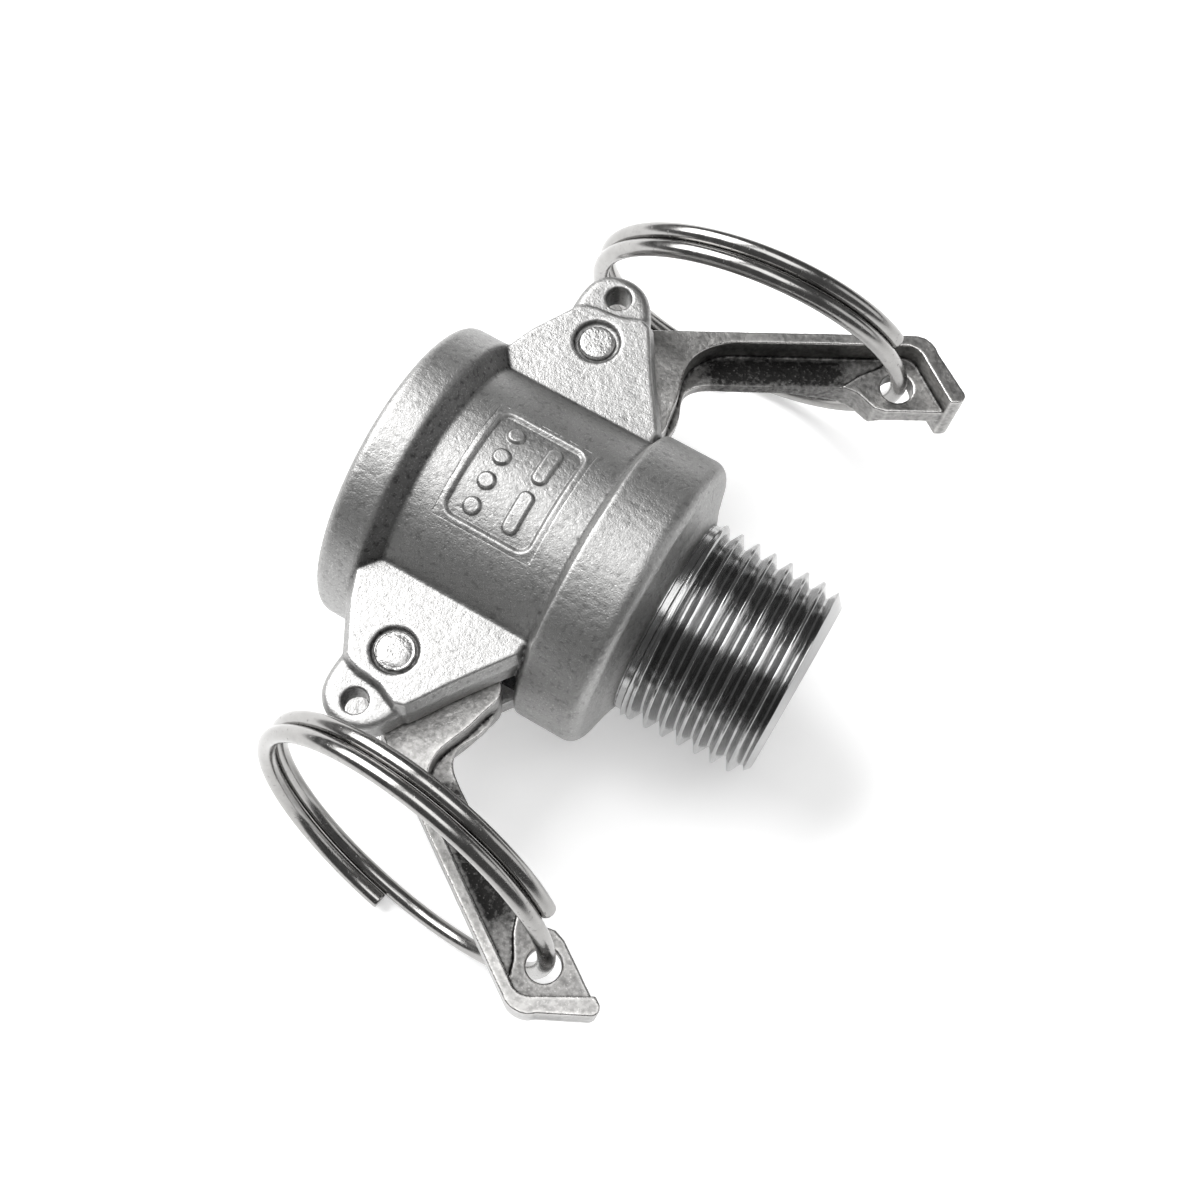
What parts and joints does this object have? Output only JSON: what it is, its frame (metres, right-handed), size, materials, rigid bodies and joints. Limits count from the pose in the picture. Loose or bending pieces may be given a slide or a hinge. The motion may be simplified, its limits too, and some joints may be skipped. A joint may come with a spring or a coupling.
{
  "type": "camlock coupling",
  "caption": "Camlock hose coupler with two swinging cam levers, split pull rings, a face gasket and a taper pipe thread at the rear.",
  "frame": {"origin": "centre of the mouth face, on the bore axis", "axes": "+X along the bore toward the threaded end, +Z parallel to the pivot pins, +Y toward lever A"},
  "size_m": [0.0454, 0.0789, 0.0343],
  "materials": {
    "cast_body": "bead-blasted stainless casting with a fine grain",
    "gasket_rubber": "smooth moulded nitrile",
    "pin_steel": "cut and peened rod",
    "lever_steel": "tumbled stainless casting, half polished on its edges",
    "ring_wire": "polished stainless spring wire"
  },
  "bodies": {
    "coupler": {"coupler_body": "cast_body", "gasket": "gasket_rubber", "pivot_pin_a": "pin_steel", "pivot_pin_b": "pin_steel"},
    "lever_a": {"cam_lever_a": "lever_steel"},
    "lever_b": {"cam_lever_b": "lever_steel"},
    "ring_a": {"pull_ring_a": "ring_wire"},
    "ring_b": {"pull_ring_b": "ring_wire"}
  },
  "joints": [
    {"name": "lever_a", "type": "hinge", "parent": "coupler", "child": "lever_a", "pos_m": [0.01165, 0.01857, 0], "axis": [0, 0, 1], "range_deg": [-29.6, 65]},
    {"name": "lever_b", "type": "hinge", "parent": "coupler", "child": "lever_b", "pos_m": [0.01165, -0.01857, 0], "axis": [0, 0, -1], "range_deg": [-34, 60]},
    {"name": "ring_a", "type": "hinge", "parent": "lever_a", "child": "ring_a", "pos_m": [0.03888, 0.0334, 0], "axis": [0, 0, -1], "range_deg": [0, 180]},
    {"name": "ring_b", "type": "hinge", "parent": "lever_b", "child": "ring_b", "pos_m": [0.03766, -0.03545, 0], "axis": [0, 0, 1], "range_deg": [0, 180]}
  ]
}
